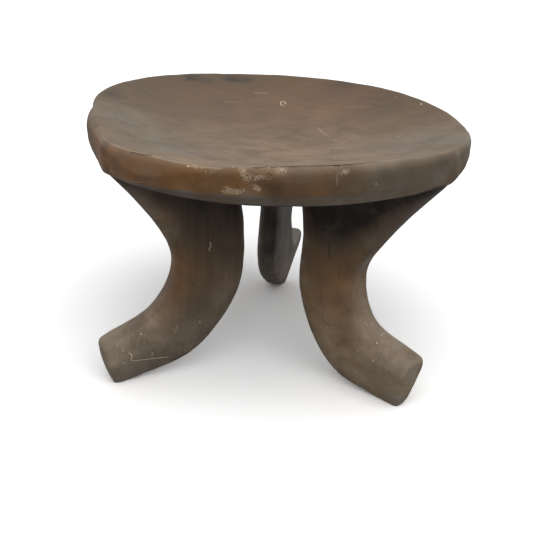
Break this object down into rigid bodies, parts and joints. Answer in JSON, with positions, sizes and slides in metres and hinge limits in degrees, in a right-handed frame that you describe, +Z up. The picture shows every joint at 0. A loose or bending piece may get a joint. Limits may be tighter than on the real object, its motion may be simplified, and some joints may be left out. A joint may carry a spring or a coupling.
{
  "type": "three-legged stool",
  "caption": "Low carved hardwood stool: dished oval seat on C-curved legs that flare to the rim and splay out to blunt toes.",
  "frame": {"origin": "on the floor under the middle of the whole stool", "axes": "+Z up; the front, between the two front legs, faces -Y; +X is to the right as seen from the front"},
  "size_m": [0.3317, 0.3539, 0.2401],
  "materials": {
    "seat_wood": "worn dark hardwood, matte in the dish and polished by hands on the rim",
    "leg_wood": "dark oiled hardwood, satin, dusty towards the toes"
  },
  "bodies": {
    "root": {"seat": "seat_wood", "front_left_leg": "leg_wood", "front_right_leg": "leg_wood", "rear_leg": "leg_wood"}
  },
  "joints": []
}
